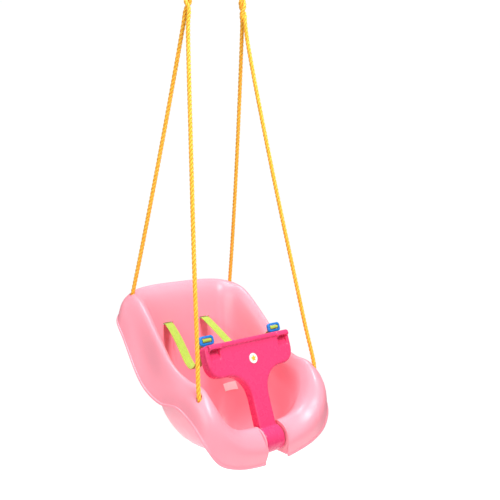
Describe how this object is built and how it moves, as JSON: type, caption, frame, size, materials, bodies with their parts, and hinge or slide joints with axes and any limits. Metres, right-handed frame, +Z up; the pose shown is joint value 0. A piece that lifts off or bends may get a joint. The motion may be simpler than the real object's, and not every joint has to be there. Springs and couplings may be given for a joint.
{
  "type": "toddler bucket swing",
  "caption": "Toddler bucket swing: moulded full-bucket seat with hinged T-bar, buckled webbing straps and twisted rope bridles that hang from S-hooks.",
  "frame": {"origin": "midway between the two hooks, level with the inside of their upper bights, where the swing hangs from its frame", "axes": "+Z up, X across the seat with the child's left hand towards +X, -Y towards the front of the seat"},
  "size_m": [0.4148, 0.4222, 1.2288],
  "materials": {
    "seat": "glossy light pink moulding",
    "bar": "glossy hot pink moulding",
    "buckle": "satin blue moulding",
    "webbing": "woven lime webbing",
    "rope": "twisted three-strand yellow rope",
    "ring": "grooved moulded ring",
    "badge": "plain printed badge",
    "steel": "zinc-plated rod",
    "label": "plain blank label"
  },
  "bodies": {
    "hooks": {"left_hook": "steel", "right_hook": "steel"},
    "swing": {"bucket": "seat", "hinge_pin": "bar", "hinge_pin_cap": "bar", "left_strap_anchor": "webbing", "right_strap_anchor": "webbing", "left_strap_stop": "buckle", "right_strap_stop": "buckle", "left_rope": "rope", "right_rope": "rope", "left_front_knot": "rope", "right_front_knot": "rope", "left_back_knot": "rope", "right_back_knot": "rope", "left_ring": "ring", "right_ring": "ring", "left_seizing": "rope", "right_seizing": "rope", "blank_label": "label"},
    "t_bar": {"t_bar": "bar", "badge": "badge"},
    "left_strap": {"left_strap": "webbing"},
    "right_strap": {"right_strap": "webbing"},
    "left_buckle": {"left_buckle": "buckle"},
    "right_buckle": {"right_buckle": "buckle"}
  },
  "joints": [
    {"name": "swing_pivot", "type": "hinge", "parent": "hooks", "child": "swing", "pos_m": [0, 0, -0.0558], "axis": [1, 0, 0], "range_deg": [-40, 40]},
    {"name": "t_bar_hinge", "type": "hinge", "parent": "swing", "child": "t_bar", "pos_m": [0, -0.194, -1.158], "axis": [1, 0, 0], "range_deg": [0, 150]},
    {"name": "left_strap_lift", "type": "hinge", "parent": "swing", "child": "left_strap", "pos_m": [-0.0585, 0.123, -0.933], "axis": [-1, 0, 0], "range_deg": [0, 60]},
    {"name": "right_strap_lift", "type": "hinge", "parent": "swing", "child": "right_strap", "pos_m": [0.0585, 0.123, -0.933], "axis": [-1, 0, 0], "range_deg": [0, 60]},
    {"name": "left_buckle_tilt", "type": "hinge", "parent": "left_strap", "child": "left_buckle", "pos_m": [-0.105, -0.09694, -0.92747], "axis": [-1, 0, 0], "range_deg": [0, 12]},
    {"name": "right_buckle_tilt", "type": "hinge", "parent": "right_strap", "child": "right_buckle", "pos_m": [0.105, -0.09694, -0.92747], "axis": [-1, 0, 0], "range_deg": [0, 12]}
  ]
}
